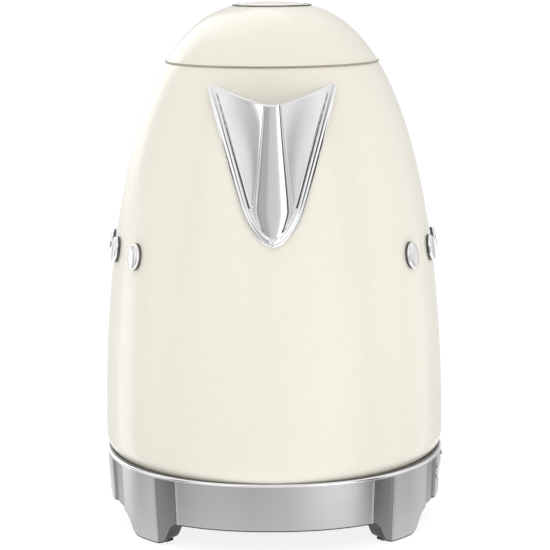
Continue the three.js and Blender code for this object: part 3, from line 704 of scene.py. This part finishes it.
def connector():
    housing = [
        (0, 24), (17, 24), (17, 33.5), (21, 33.5, 0.8), (21, 46, 1.2), (19, 46, 0.8), (19, 35.5), (7.5, 35.5),
        (7.5, 48, 1), (3, 48, 0.6), (3, 37.4), (0, 37.4),
    ]
    turned("connector_body", housing, BLACK, "power_base", ("connector_housing",), 0.3, 96)
    pin = [(0, 37.7), (1.5, 37.7), (1.5, 47, 0.7), (0, 47)]
    turned("earth_pin", pin, BRASS, "power_base", ("contact_pin",), 0.2, 32)
    for name, inner, outer, top in (("inner", 7.9, 8.7, 45), ("outer", 18, 18.6, 43.5)):
        track = [(inner, 36), (outer, 36), (outer, top), (inner, top)]
        turned(f"{name}_track", track, BRASS, "power_base", (f"contact_ring_{name}",), 0.15, 96)
    shutter = [(14.6, 36.2), (17.3, 36.2), (17.3, 44, 0.6), (14.6, 44, 0.6)]
    turned("shutter_ring", shutter, WHITE, "swivel_ring", ("connector_shutter",), 0.3, 96)


def disc_on_side(name, degrees, z, profile, material, body, replaces=(), around=48):
    """A turned piece whose axis points out of the base's side. The profile gives (radius, distance out)."""
    outline = rounded(profile, 0.3, 5)
    rings = [
        [aside(degrees, z, r * math.cos(a), r * math.sin(a), out) for r, out in outline]
        for a in full_turn(around)
    ]
    loft(name, rings, material, body, replaces, endless=True)


def controls():
    """Three push buttons, and two small plain marks on the spout's side of them."""
    for name, degrees in BUTTON_ANGLES.items():
        cap = [(0, 79.6), (3.9, 79.6), (3.9, 84.9, 0.5), (3.2, 85.15, 0.4), (0, 84.95)]
        disc_on_side(name + "_cap", degrees, CONTROL_Z, cap, CHROME, name, (name,))
    for number, z in enumerate((22.4, 27.6), 1):
        out = band_r(MARK_HEADING, z)
        mark = [(0, out - 0.4), (0.95, out - 0.4), (0.95, out + 0.12, 0.06), (0, out + 0.12)]
        disc_on_side(f"control_mark_{number}", MARK_HEADING, z, mark, INK, "power_base", around=32)


# ---- kettle body
def body_shell():
    """The enamelled outside and the steel inside, both open at the spout and at the water window."""
    pour = rounded([(-3, 171), (3, 171), (13, 203), (10, 207), (-10, 207), (-13, 203)], 2.5, 6)
    slot = rounded_box(6.4, WINDOW_Z[0] - 0.4, WINDOW_Z[1] + 0.4, 5)
    outer = dome_shell("enamel_body", -ENAMEL_T, 0, BODY_BOTTOM_Z, BODY_TOP_Z, 90, ENAMEL, "kettle",
                       ("body_shell",), rim_drop=0.4)
    inner = dome_shell("vessel_liner", -SHELL_T, -ENAMEL_T - 0.02, BODY_BOTTOM_Z, BODY_TOP_Z, 60, LINER,
                       "kettle")
    for shell in (outer, inner):
        carve(shell, [pour], -100, -30)
        carve(shell, [slot], 50, 100)


def spout_half(z):
    """Half the spout's width at a height, from its rounded tip upwards."""
    rise = np.asarray(z, float) - SPOUT_TIP_Z
    rounding = np.clip(rise / 20, 0, 1)
    return 0.29 * rise + 9.7 * np.sqrt(1 - (1 - rounding) ** 2)


def lip_height(x):
    """The upper edge sinks to a notch at the middle and ends in two rounded horns."""
    across = np.abs(np.asarray(x, float))
    end = np.clip((across - HORN_X) / HORN_W, 0, 0.9999)
    rise = 0.0412 * np.minimum(across, HORN_X) ** 1.55
    return LIP_CENTRE_Z + rise - HORN_DROP * (1 - np.sqrt(1 - end ** 2))


def smooth(value):
    t = np.clip(value, 0, 1)
    return t * t * (3 - 2 * t)


def spout_front(x, z, edge_distance):
    """How far in front of the kettle's axis the spout's outer face is, at x and z."""
    keel_fall = 0.375       # how far the keel's rounded edge drops, as a share of its width and slope
    across = np.abs(x)
    skin = np.sqrt(np.maximum(dome_r(z) ** 2 - across ** 2, 1))
    height = np.clip((z - SPOUT_TIP_Z) / (LIP_CENTRE_Z - SPOUT_TIP_Z), 0, 1.1)
    crease_x = np.maximum(spout_half(z) - BEAD_W, 0.4)
    keel_half = np.minimum(4.7 + 6.8 * np.clip(1 - height, 0, 1) ** 1.2, 0.94 * crease_x)
    keel_y = 79.7 + 4.6 * height ** 1.4
    low = np.sqrt(np.maximum(dome_r(z) ** 2 - crease_x ** 2, 1)) + 0.9
    width = crease_x - keel_half
    slope = (keel_y - low) / (width + keel_fall * keel_half)
    keel = keel_y - keel_fall * slope * keel_half * np.clip(across / keel_half, 0, 1) ** 4
    place = np.clip((crease_x - across) / width, 0, 1)
    panel = low + width * slope * (0.9 * place + 0.1 * place ** 3)
    middle = np.where(across < keel_half, keel, panel)
    rise = 0.3 + 1.7 * np.sqrt(1 - (1 - np.clip(edge_distance / 1.2, 0, 1)) ** 2)
    groove = 0.05 * np.exp(-((edge_distance - 1.5) / 0.4) ** 2)
    bead = skin + rise - groove + 0.35 * smooth((edge_distance - 1.4) / 1.1)
    bead = bead - 2.2 * smooth((edge_distance - 2.5) / 2.0)
    blend = 0.6 + 0.6 * smooth((170 - z) / 15)
    peak = np.maximum(bead, middle)
    return peak + blend * np.log(np.exp((bead - peak) / blend) + np.exp((middle - peak) / blend)) - 0.05


def spout():
    """A beak lofted from upright slices, each with an outer face, a rounded lip and an inner face."""
    columns, rows, wall = 241, 150, 1.875
    outline_z = np.linspace(SPOUT_TIP_Z, 221, 600)
    outline = np.stack([spout_half(outline_z), outline_z], 1)
    u = np.linspace(-1, 1, columns)
    u = 0.55 * u + 0.45 * np.sin(u * math.pi / 2)
    top = np.full(columns, 215.0)
    for _ in range(60):
        top = 0.5 * (top + lip_height(u * spout_half(top)))
    v = np.linspace(0, 1, rows) ** 1.5
    z = SPOUT_TIP_Z + 0.02 + (top[:, None] - SPOUT_TIP_Z - 0.02) * v[None, :]
    x = u[:, None] * spout_half(z)
    away = np.hypot(np.abs(x)[..., None] - outline[:, 0], z[..., None] - outline[:, 1]).min(-1)
    front = spout_front(x, z, away)
    seat = np.sqrt(np.maximum(dome_r(z) ** 2 - x ** 2, 1)) + 0.3
    back = np.maximum(seat, front - wall)
    back = np.minimum(back, front - 0.05)
    rings = []
    for i in range(columns):
        ring = [(x[i, j], -front[i, j], z[i, j]) for j in range(rows)]
        middle, half = (front[i, -1] + back[i, -1]) / 2, (front[i, -1] - back[i, -1]) / 2
        for turn in np.linspace(0, math.pi, 9)[1:-1]:
            ring.append((x[i, -1], -middle - half * math.cos(turn), z[i, -1] + 0.4 * math.sin(turn)))
        ring += [(x[i, j], -back[i, j], z[i, j]) for j in range(rows - 1, -1, -1)]
        rings.append(ring)
    paint_crease_reflection(loft("spout_beak", rings, CHROME, "kettle", ("spout",), sharp=50))


def paint_crease_reflection(beak):
    """A painted dark reflection along the inner side of the bead, which thins out towards the horns."""
    beak.data.materials.append(PAINTED_DARK_REFLECTION)
    for face in beak.data.polygons:
        across, z = abs(face.center.x) / MM, face.center.z / MM
        crease = 0.96 * (float(spout_half(z)) - across)
        line = 0.13 + 0.27 * float(smooth((216 - z) / 40))
        if face.normal.y < -0.2 and abs(crease - CREASE_AT) < line and CREASE_Z[0] < z < CREASE_Z[1]:
            face.material_index = 1


def spout_filter():
    """A plate behind the spout, with rows of small upright slots."""
    outline = rounded([(-6, 165), (6, 165), (17, 205), (14, 211), (-14, 211), (-17, 205)], 2, 5)
    plate = dome_piece("filter_frame", outline, -SHELL_T - 2.6, -SHELL_T - 0.4, -1, BLACK, "filter",
                       ("spout_filter",))
    holes = []
    for row in range(9):
        low = 172.5 + 4 * row
        count = int(((low - 165) * 0.26 + 2) // 3.2)
        for number in range(-count, count + 1):
            holes.append([(px + number * 3.2, pz) for px, pz in rounded_box(1.2, low, low + 2.6, 0.8, 3)])
    carve(plate, holes, -90, -30)


def grid_over(outline, step):
    """A flat (x, z) outline cut into a grid, as a bmesh."""
    flat = bmesh.new()
    flat.faces.new([flat.verts.new((px, 0, pz)) for px, pz in outline])
    for axis, values in ((0, [p[0] for p in outline]), (2, [p[1] for p in outline])):
        for cut in np.arange(min(values) + step, max(values), step):
            place, normal = [0, 0, 0], [0, 0, 0]
            place[axis], normal[axis] = cut, 1
            bmesh.ops.bisect_plane(flat, geom=flat.verts[:] + flat.edges[:] + flat.faces[:],
                                   plane_co=place, plane_no=normal)
    flat.verts.index_update()
    return flat


def dome_piece(name, outline, inner, outer, side, material, body, replaces=(), step=1.2, edge=0.0):
    """A plate between two offsets from the dome, from an (x, z) outline laid on it.

    side is -1 at the spout and 1 at the handle.
    """
    flat = grid_over(outline, step)
    count = len(flat.verts)
    points = []
    for offset in (outer, inner):
        for vert in flat.verts:
            reach = math.sqrt(max((float(dome_r(vert.co.z)) + offset) ** 2 - vert.co.x ** 2, 1))
            points.append((vert.co.x, side * reach, vert.co.z))
    faces = [tuple(v.index for v in face.verts) for face in flat.faces]
    faces += [tuple(v.index + count for v in reversed(face.verts)) for face in flat.faces]
    for border in flat.edges:
        if border.is_boundary:
            a, b = (v.index for v in border.verts)
            faces.append((a, b, b + count, a + count))
    flat.free()
    piece = make_piece(name, points, faces, material, body, replaces)
    if edge:
        bevelled(piece, edge)
    return piece


def water_window():
    low, high = WINDOW_Z
    dome_piece("level_window", rounded_box(6, low, high, 4.6), -SHELL_T, 0.1, 1, CLEAR, "kettle",
               ("water_window",), 2, 0.2)
    outer = rounded_box(9, low - 3, high + 3, 7)
    surround = dome_piece("window_surround", outer, 0.4, 2, 1, CHROME, "kettle", ("window_frame",), 2)
    carve(surround, [rounded_box(5, low + 1, high - 1, 4)], 40, 120)
    bevelled(surround, 0.5)


def vessel_parts():
    neck = [(46, 217, 0.6), (55.3, 217, 0.6), (51.4, 226.4, 0.6), (46, 226.4, 1.2)]
    ring = turned("neck_collar", neck, BLACK, "kettle", ("neck_ring",), 0.5)
    carve(ring, [[(-6, 220.6), (6, 220.6), (6, 230), (-6, 230)]], -50.4, -40)
    plate = [(0, 62), (81.4, 62), (81.4, 64.4, 0.8), (60, 64.4), (58, 63.8), (0, 63.8)]
    turned("floor_plate", plate, LINER, "kettle", ("heating_plate",), 0.5)
    seal = [(81.8, 60), (83.3, 60), (83.3, 66), (81.8, 66)]
    turned("floor_seal", seal, SILICONE, "kettle", ("plate_seal",), 0.5)
    sensor = [(0, 57), (3.6, 57), (3.6, 68, 1.2), (0, 68)]
    turned("sensor_tip", sensor, STEEL, "kettle", ("temperature_sensor",), 0.3, 48, (30, 0))
    socket = [
        (2.8, 52), (10.4, 52), (10.4, 37), (13.2, 37), (13.2, 52), (24, 52), (24, 56), (0, 56), (0, 52.4),
        (2.8, 52.4),
    ]
    turned("socket_body", socket, BLACK, "kettle", ("kettle_socket",), 0.35, 96)
    sleeve = [(1.9, 41.5), (2.6, 41.5), (2.6, 52.1), (1.9, 52.1)]
    turned("socket_contact", sleeve, BRASS, "kettle", ("socket_sleeve",), 0.15, 40)
    cover = [(23, 33.6, 0.5), (78.6, 33.6, 0.8), (78.6, 36.4), (76, 38), (40, 36.8), (23, 36)]
    turned("bottom_cover", cover, BLACK, "kettle", ("kettle_bottom_cover",))


def stud_rings(degrees, levels):
    """Ovals on the dome. Each level gives a share of the stud's full size, and how far out it lies."""
    rings = []
    for share, out in levels:
        ring = []
        for a in full_turn(64):
            across, up = STUD_HALF_W * share * math.cos(a), STUD_HALF_H * share * math.sin(a)
            reach = math.sqrt((float(dome_r(STUD_Z + up)) + out) ** 2 - across ** 2)
            ring.append(aside(degrees, STUD_Z, across, up, reach))
        rings.append(ring)
    return rings


def studs():
    """Plain raised ovals with a flat, polished face, a rounded edge and a side wall of darkened chrome, a
    painted dark reflection.
    """
    cap = ((0.9, 1.3), (0.965, 1.3), (0.97, 2.0), (0.94, 2.45), (0.85, 2.68), (0.5, 2.8), (0.1, 2.82))
    wall = ((0.98, 0.3), (1.0, 0.35), (1.0, 1.1), (0.985, 1.27), (0.95, 1.29))
    for number, degrees in enumerate(STUD_ANGLES, 1):
        for side, way in (("right", 1), ("left", -1)):
            name = f"side_stud_{side}_{number}"
            loft(name + "_cap", stud_rings(way * degrees, cap), CHROME, "kettle", (name,), sharp=60)
            # the side wall in darkened chrome, a painted dark reflection
            loft(name + "_wall", stud_rings(way * degrees, wall), PAINTED_DARK_REFLECTION, "kettle", sharp=60)


# ---- handle
def handle_line(count):
    """The handle's centre line and its direction, in the plane of symmetry, as a centripetal spline."""
    back = HANDLE_BACK_Y - HANDLE_T / 2
    knots = np.array([
        (50, 212), (66, 215.5), (88, 217), (110, 212), (127, 196), (back, 170), (back - 3, 143), (123, 117),
        (106, 99), (88, 89), (70, 84),
    ], float)
    padded = np.vstack([2 * knots[0] - knots[1], knots, 2 * knots[-1] - knots[-2]])
    dense = []
    for i in range(1, len(padded) - 2):
        p = padded[i - 1:i + 3]
        t = np.concatenate([[0], np.cumsum(np.sqrt(np.linalg.norm(np.diff(p, axis=0), axis=1)))])
        for s in np.linspace(t[1], t[2], 40, endpoint=False):
            a = [((t[k + 1] - s) * p[k] + (s - t[k]) * p[k + 1]) / (t[k + 1] - t[k]) for k in range(3)]
            b = [((t[k + 2] - s) * a[k] + (s - t[k]) * a[k + 1]) / (t[k + 2] - t[k]) for k in range(2)]
            dense.append(((t[2] - s) * b[0] + (s - t[1]) * b[1]) / (t[2] - t[1]))
    dense.append(knots[-1])
    dense = np.array(dense)
    length = np.concatenate([[0], np.cumsum(np.linalg.norm(np.diff(dense, axis=0), axis=1))])
    places = np.linspace(0, length[-1], count)
    line = np.stack([np.interp(places, length, dense[:, k]) for k in (0, 1)], 1)
    direction = np.gradient(line, axis=0)
    return line, direction / np.linalg.norm(direction, axis=1)[:, None]


def handle_rings(half_width, inner, outer, first=0, last=1):
    """Rounded oblong rings along the handle, from one share of its length to another."""
    power, count = 0.55, 240
    line, direction = handle_line(count)
    middle, half = (inner + outer) / 2, (outer - inner) / 2
    rings = []
    for k in range(int(first * (count - 1)), int(last * (count - 1)) + 1):
        ring = []
        for a in full_turn(56):
            c, s = math.cos(a), math.sin(a)
            x = half_width * math.copysign(abs(c) ** power, c)
            depth = middle + half * math.copysign(abs(s) ** power, s)
            ring.append((x, line[k, 0] - direction[k, 1] * depth, line[k, 1] + direction[k, 0] * depth))
        rings.append(ring)
    return rings


def trim_to_dome(rings, clearance):
    """Drops the rings of a bar that are inside the dome, and slides the end rings back to its surface."""
    kept = []
    for ring in rings:
        centre = np.mean(ring, axis=0)
        if math.hypot(centre[0], centre[1]) > float(dome_r(centre[2])) + clearance - 3:
            kept.append([
                (x, max(y, math.sqrt((float(dome_r(z)) + clearance) ** 2 - x * x)), z) for x, y, z in ring
            ])
    return kept


def pad(name, low, high, material, node):
    """A rounded pad on the back of the body, for the handle or the hinge."""
    dome_piece(name, rounded_box(14, low, high, 8), 0.4, 3.4, 1, material, "kettle", (node,), 2, 0.8)


def handle():
    """The polished bar, its soft grip with rounded-off ends, and the lower mount."""
    low, high = -HANDLE_T / 2, HANDLE_T / 2
    bar = trim_to_dome(handle_rings(HANDLE_W / 2, low, high), 3.7)
    loft("handle_bar", bar, CHROME, "kettle", ("handle",), sharp=50)
    grip = handle_rings(HANDLE_W / 2 - 4.2, low - 1, low + 1.5, 0.2, 0.8)
    for end, direction in ((0, 1), (-1, -1)):
        for step, shrink in enumerate((0.55, 0.8, 0.93)):
            k = end + direction * step
            centre = np.mean(grip[k], axis=0)
            grip[k] = [tuple(centre + (np.array(point) - centre) * shrink) for point in grip[k]]
    loft("grip_pad", grip, RUBBER, "kettle", ("handle_grip",), sharp=60)
    pad("lower_mount", 71, 99, CHROME, "handle_mount_bottom")


def ear(name, low, high):
    """One ear of the hinge, with a round top about the pin."""
    radius = 3.9
    top = [
        (PIN_Y + radius * math.cos(a), PIN_Z + radius * math.sin(a)) for a in np.linspace(math.pi, 0, 25)
    ]
    rings = [[(x, y, z) for y, z in [(56.2, 219), *top, (62.2, 219)]] for x in (low, high)]
    bevelled(loft(name, rings, BLACK, "kettle"), 0.5)


def hinge():
    pad("hinge_pad", 201, 224.5, BLACK, "hinge_bracket")
    ear("hinge_ear_left", -12, -8.2)
    ear("hinge_ear_right", 8.2, 12)
    rod = rounded([(0, -12.6), (PIN_R, -12.6), (PIN_R, 12.6), (0, 12.6)], 0.4)
    rings = [
        [(along, PIN_Y + r * math.cos(a), PIN_Z + r * math.sin(a)) for r, along in rod]
        for a in full_turn(48)
    ]
    loft("hinge_rod", rings, STEEL, "kettle", ("hinge_pin",), endless=True)


# ---- lid
def lid():
    """The dome with a notch for the hinge, the pan and seal under it, and the ring round the button."""
    dome = dome_shell("lid_dome", -SHELL_T, 0, LID_BOTTOM_Z, 254.4, 60, ENAMEL, "lid", ("lid_shell",), 0.45)
    carve(dome, [[(-8.2, 220), (8.2, 220), (8.2, 232.4), (-8.2, 232.4)]], 40, 70)
    pan = [
        (0, 219), (43, 219, 2.5), (43, 227.8, 0.3), (49.6, 227.8), (49.6, 229.1), (41.6, 229.1),
        (41.6, 220.4), (0, 220.4),
    ]
    pan = turned("lid_pan", pan, LINER, "lid", ("lid_liner",))
    carve(pan, [[(-5, 221.8), (5, 221.8), (5, 225.6), (-5, 225.6)]], -60, -30)
    seal = [
        (46.5, 226.7), (50.4, 226.7), (50.4, 227.52), (52.9, 227.52), (52.9, 227.9), (50, 227.9),
        (50, 227.5), (46.5, 227.5),
    ]
    turned("lid_seal", seal, SEAL, "lid", ("lid_gasket",), 0.12)
    trim = [
        (17.2, 250), (19.1, 250), (19.1, 254.2, 0.6), (18.5, 254.95, 0.5), (17.6, 254.95, 0.4),
        (17.2, 254.5, 0.3),
    ]
    turned("button_trim", trim, CHROME, "lid", ("button_ring",), 0.2)
    # a band of darkened chrome under the button's ring, a painted dark reflection
    foot = [(19.14, 254.42), (19.74, 254.42), (19.7, 255.0, 0.15), (19.14, 255.05)]
    turned("button_trim_foot", foot, PAINTED_DARK_REFLECTION, "lid", (), 0.1)


def lid_button():
    """The round cap, and the stem whose ramp draws the latch back."""
    cap = [(0, 250), (BUTTON_R, 250), (BUTTON_R, 254.9, 0.8), (13, 255.85), (7, 256.3), (0, 256.45)]
    turned("button_cap", cap, ENAMEL, "lid_button", ("lid_button",), 0.3)
    stem = [(-6, 250.5), (-6, 229), (0, 229), (6, 235), (6, 250.5)]
    rings = [[(x, y, z) for y, z in stem] for x in (-4.5, 4.5)]
    bevelled(loft("button_stem", rings, WHITE, "lid_button"), 0.3, 38)


def lid_button_spring():
    """A coil under the button."""
    radius, wire, turns, low, length = 10.2, 0.7, 4, 238.8, 10
    rings = []
    for along in np.linspace(0, 1, turns * 40 + 1):
        a, height = 2 * math.pi * turns * along, low + length * along
        section = circle(wire, 16, radius, height)
        rings.append([(r * math.cos(a), r * math.sin(a), z) for r, z in section])
    spring = loft("button_coil", rings, STEEL, "lid", ("button_spring",), sharp=60)
    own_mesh(spring)


# ---- CAD pieces that keep their shape
KEPT = {
    STEEL: ("base_screw_1", "base_screw_2", "base_screw_3", "cover_screw_1", "cover_screw_2", "cover_screw_3",
            "heating_element", "hinge_spring", "lid_hinge_arm"),
    BOARD: ("control_board", "power_board"),
    WHITE: ("thermal_cutout", "lid_carrier", "lid_latch"),
    CLEAR: ("indicator_lens",),
}


def kept_nodes():
    for material, names in KEPT.items():
        for name in names:
            node = frame["nodes"][name]
            node.data.materials.clear()
            node.data.materials.append(material)


# ---- stage, lights and camera
def stage():
    """A pale round floor that fades into the white room around it."""
    clear_radius, floor_radius = 0.095, 0.17
    edge = [(x, y, 0) for x, y in circle(floor_radius, 96, 0, AXIS_Y)]
    mesh = bpy.data.meshes.new("floor")
    mesh.from_pydata(edge, [], [tuple(range(len(edge)))])
    finish = Finish("pale_floor", (0.3, 0.3, 0.3), 0.7)
    finish.tint(finish.noise(6, 2), (0.31, 0.31, 0.31), (0.29, 0.29, 0.29))
    finish.set(Emission_Color=(1, 1, 1, 1), Emission_Strength=FLOOR_GLOW)
    centre = finish.node("ShaderNodeVectorMath", operation="DISTANCE")
    centre.inputs[1].default_value = (0, AXIS_Y, 0)
    finish.link(finish.place(), centre.inputs[0])
    fade = finish.ramp(centre.outputs["Value"], clear_radius, floor_radius, 1, 0)
    finish.link(fade, finish.shader.inputs["Alpha"])
    mesh.materials.append(finish.material)
    add_object("floor", mesh)


def top_box():
    """A rectangular softbox above and behind, aimed at the kettle."""
    azimuth, elevation, distance, width, depth, brightness = -150, 62, 1.2, 0.9, 0.7, 0.6
    x, y = heading(azimuth)
    up = math.radians(elevation)
    middle = Vector((0, AXIS_Y, 0.13))
    place = middle + distance * Vector((x * math.cos(up), y * math.cos(up), math.sin(up)))
    light = bpy.data.lights.new("top_box", "AREA")
    light.shape = "RECTANGLE"
    light.size, light.size_y = width, depth
    light.energy = brightness * width * depth * math.pi
    lamp = add_object("top_box", light)
    lamp.location = place
    lamp.rotation_euler = (middle - place).to_track_quat("-Z", "Y").to_euler()


def room():
    """A white room, darker in places round its walls."""
    world = bpy.data.worlds.new("studio")
    bpy.context.scene.world = world
    world.use_nodes = True
    nodes = Nodes(world.node_tree)
    towards = nodes.split(nodes.node("ShaderNodeTexCoord").outputs["Generated"])
    azimuth = nodes.angle(towards["X"], nodes.scaled(towards["Y"], -1))
    place = nodes.ramp(azimuth, -math.pi, math.pi)
    walls = []
    for levels in (WALL_LOW, WALL_HIGH):
        ramp = nodes.node("ShaderNodeValToRGB")
        ramp.color_ramp.interpolation = "EASE"
        while len(ramp.color_ramp.elements) < len(levels):
            ramp.color_ramp.elements.new(0.5)
        for element, (degrees, level) in zip(ramp.color_ramp.elements, levels):
            element.position = (degrees + 180) / 360
            element.color = (level, level, level, 1)
        nodes.link(place, ramp.inputs[0])
        walls.append(ramp.outputs["Color"])
    # the high walls, the ceiling and the floor each take over between two heights
    shade, high = walls
    above, below = [(level, level, level) for level in (ROOM_ABOVE, ROOM_BELOW)]
    for other, start, end in ((high, -0.1, 0.1), (above, 0.55, 0.8), (below, -0.5, -0.75)):
        shade = nodes.mix(nodes.ramp(towards["Z"], start, end), shade, other)
    nodes.link(shade, nodes.tree.nodes["Background"].inputs["Color"])


def camera():
    """Nearly a metre in front of the kettle, a little above its lid."""
    distance, height, pitch, roll, yaw = 0.914, 0.2861, 10.31, -0.36, -0.05
    data = bpy.data.cameras.new("camera")
    data.sensor_width = 36
    data.lens = 120.6
    eye = add_object("camera", data)
    eye.location = (0, AXIS_Y - distance, height)
    aim = Euler((math.radians(90 - pitch), 0, math.radians(yaw))).to_matrix()
    eye.rotation_euler = (aim @ Matrix.Rotation(math.radians(roll), 3, "Z")).to_euler()
    bpy.context.scene.camera = eye


camera()
stage()
room()
top_box()
base_skin()
leg_cove_shades()
leg_cores()
rubber_feet()
base_plastic()
connector()
controls()
body_shell()
spout()
spout_filter()
water_window()
vessel_parts()
studs()
handle()
hinge()
lid()
lid_button()
lid_button_spring()
kept_nodes()

bpy.context.scene.view_settings.view_transform = "Standard"
